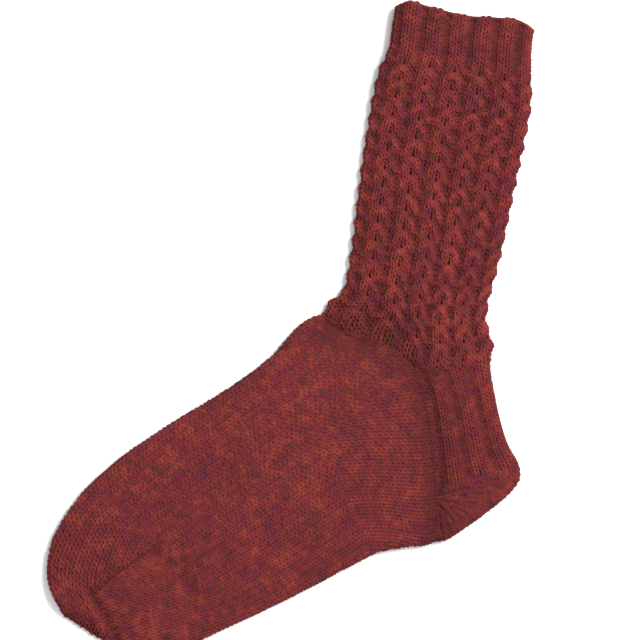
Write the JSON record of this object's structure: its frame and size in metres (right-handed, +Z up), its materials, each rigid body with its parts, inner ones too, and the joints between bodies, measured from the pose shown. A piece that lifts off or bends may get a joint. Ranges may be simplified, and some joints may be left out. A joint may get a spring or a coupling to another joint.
{
  "type": "knitted wool sock",
  "caption": "Hand-knitted wool sock laid flat on its side, with a ribbed cuff, an eyelet-rib leg, a ribbed heel and a plain foot and toe.",
  "frame": {"origin": "on the surface the sock lies on, under the middle of its bounding box", "axes": "+Y along the leg to the open cuff, +X to the heel side with the toe at -X and -Y, +Z up out of the surface"},
  "size_m": [0.2378, 0.365, 0.012],
  "materials": {
    "rib_wool": "heathered brick-red wool, knitted in rib",
    "eyelet_wool": "heathered brick-red wool, knitted in eyelet rib",
    "heel_wool": "heathered brick-red wool, knitted in slipped rib",
    "foot_wool": "heathered brick-red wool, plain smooth knit"
  },
  "bodies": {
    "root": {"cuff": "rib_wool", "leg": "eyelet_wool", "heelFlap": "heel_wool", "heelTurn": "heel_wool", "foot": "foot_wool", "toe": "foot_wool"}
  },
  "joints": []
}
